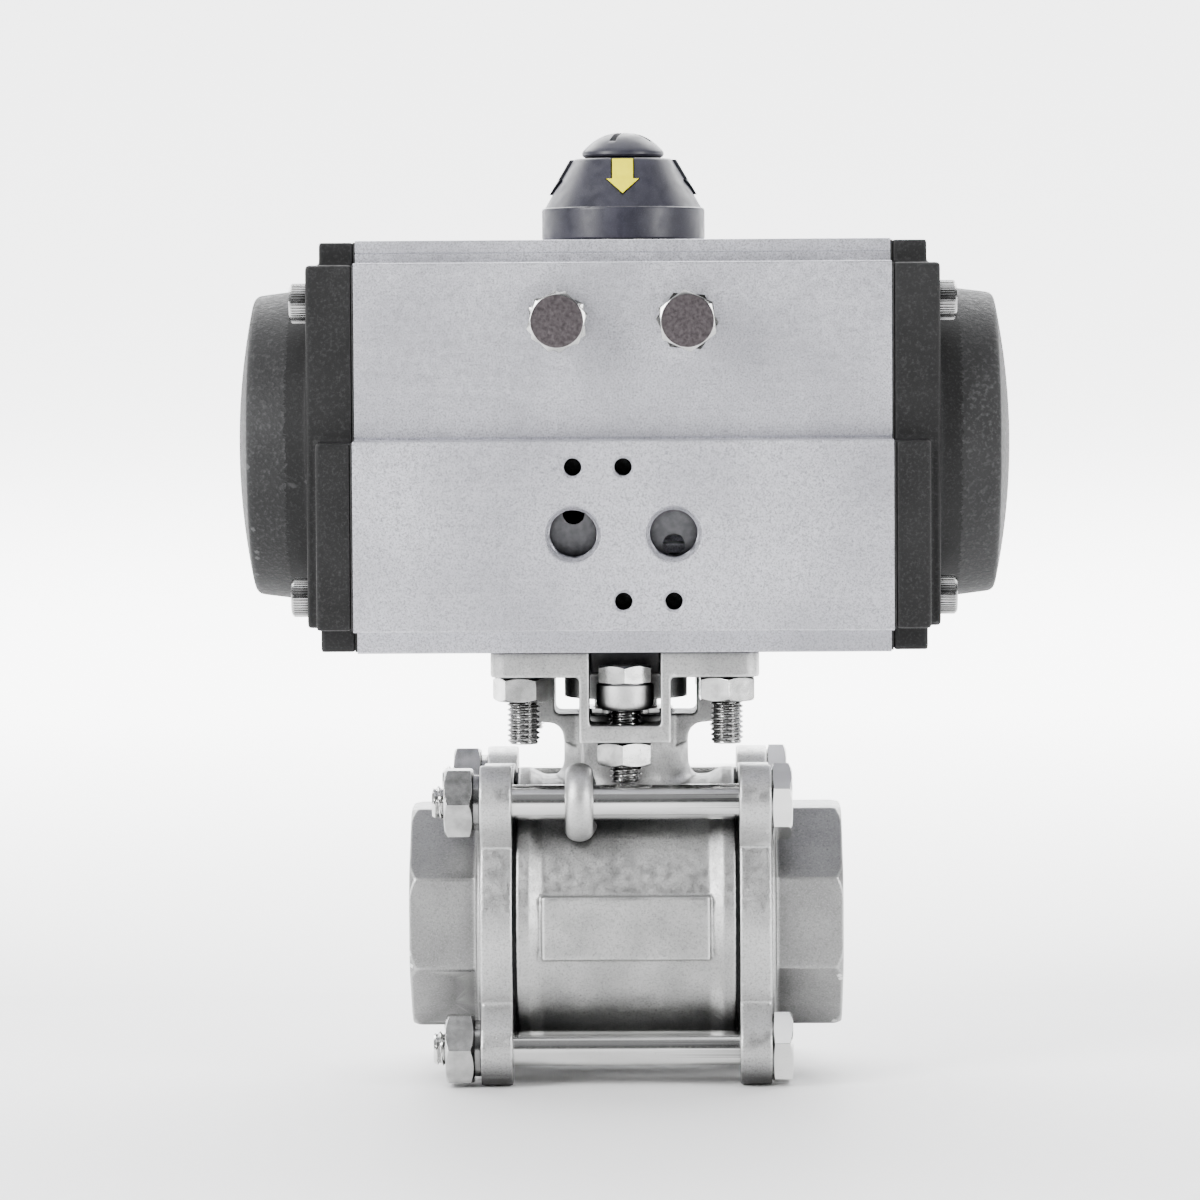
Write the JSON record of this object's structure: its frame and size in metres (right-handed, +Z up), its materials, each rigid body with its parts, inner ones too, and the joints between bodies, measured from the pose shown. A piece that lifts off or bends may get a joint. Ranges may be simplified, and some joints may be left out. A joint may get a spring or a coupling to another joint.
{
  "type": "pneumatic actuated valve",
  "caption": "Pneumatic quarter-turn rack-and-pinion actuator on a three-piece stainless ball valve with threaded pipe ends and a position indicator.",
  "frame": {"origin": "middle of the base, on the plane that the four lower flange lugs stand on", "axes": "+Z up along the stem, +X along the pipe to the right, -Y towards the air ports at the front"},
  "size_m": [0.1898, 0.097, 0.2321],
  "materials": {
    "anodised_aluminium": "bead-blasted and hard anodised, satin",
    "black_coating": "dark grey textured powder coat",
    "dark_plastic": "moulded, satin",
    "yellow_plastic": "moulded insert",
    "cast_stainless": "investment cast and bead-blasted",
    "bright_stainless": "bright turned and drawn",
    "steel": "machined and nickel plated",
    "black_rubber": "moulded seal",
    "white_polymer": "turned polymer"
  },
  "bodies": {
    "housing": {"actuator_body": "anodised_aluminium", "body_gasket_left": "black_rubber", "body_gasket_right": "black_rubber", "cap_screw_left_1": "bright_stainless", "cap_screw_left_2": "bright_stainless", "cap_screw_left_3": "bright_stainless", "cap_screw_left_4": "bright_stainless", "cap_screw_right_1": "bright_stainless", "cap_screw_right_2": "bright_stainless", "cap_screw_right_3": "bright_stainless", "cap_screw_right_4": "bright_stainless", "cap_seal_left": "black_rubber", "cap_seal_right": "black_rubber", "end_cap_left": "black_coating", "end_cap_right": "black_coating", "end_connection_left": "cast_stainless", "end_connection_right": "cast_stainless", "lever_stop_bolt": "bright_stainless", "lever_stop_collar": "cast_stainless", "lever_stop_nut": "bright_stainless", "mount_nut_1": "bright_stainless", "mount_nut_2": "bright_stainless", "mount_nut_3": "bright_stainless", "mount_nut_4": "bright_stainless", "mount_stud_1": "bright_stainless", "mount_stud_2": "bright_stainless", "mount_stud_3": "bright_stainless", "mount_stud_4": "bright_stainless", "packing_gland": "bright_stainless", "pinion_bush_bottom": "white_polymer", "pinion_bush_top": "white_polymer", "seat_left": "white_polymer", "seat_right": "white_polymer", "stem_packing": "white_polymer", "stop_bolt_left": "bright_stainless", "stop_bolt_right": "bright_stainless", "stop_nut_left": "bright_stainless", "stop_nut_right": "bright_stainless", "tie_bolt_1": "bright_stainless", "tie_bolt_2": "bright_stainless", "tie_bolt_3": "bright_stainless", "tie_bolt_4": "bright_stainless", "tie_nut_1": "bright_stainless", "tie_nut_2": "bright_stainless", "tie_nut_3": "bright_stainless", "tie_nut_4": "bright_stainless", "valve_body": "cast_stainless"},
    "rotor": {"pinion": "steel", "stop_cam": "steel", "pinion_circlip": "steel", "indicator_cap": "dark_plastic", "indicator_screw": "dark_plastic", "indicator_arrow_front": "yellow_plastic", "indicator_arrow_rear": "yellow_plastic", "stem": "bright_stainless", "ball": "bright_stainless"},
    "right_piston": {"piston_right": "anodised_aluminium", "piston_seal_right": "black_rubber"},
    "left_piston": {"piston_left": "anodised_aluminium", "piston_seal_left": "black_rubber"}
  },
  "joints": [
    {"name": "rotor_turn", "type": "hinge", "parent": "housing", "child": "rotor", "pos_m": [0, 0.0065, 0.15545], "axis": [0, 0, 1], "range_deg": [0, 90]},
    {"name": "piston_right_slide", "type": "slide", "parent": "housing", "child": "right_piston", "axis": [1, 0, 0], "range_m": [0, 0.0189]},
    {"name": "piston_left_slide", "type": "slide", "parent": "housing", "child": "left_piston", "axis": [-1, 0, 0], "range_m": [0, 0.0189]}
  ],
  "couplings": [
    {"joint": "piston_right_slide", "follows": "rotor_turn", "m_per_rad": 0.012},
    {"joint": "piston_left_slide", "follows": "rotor_turn", "m_per_rad": 0.012}
  ]
}
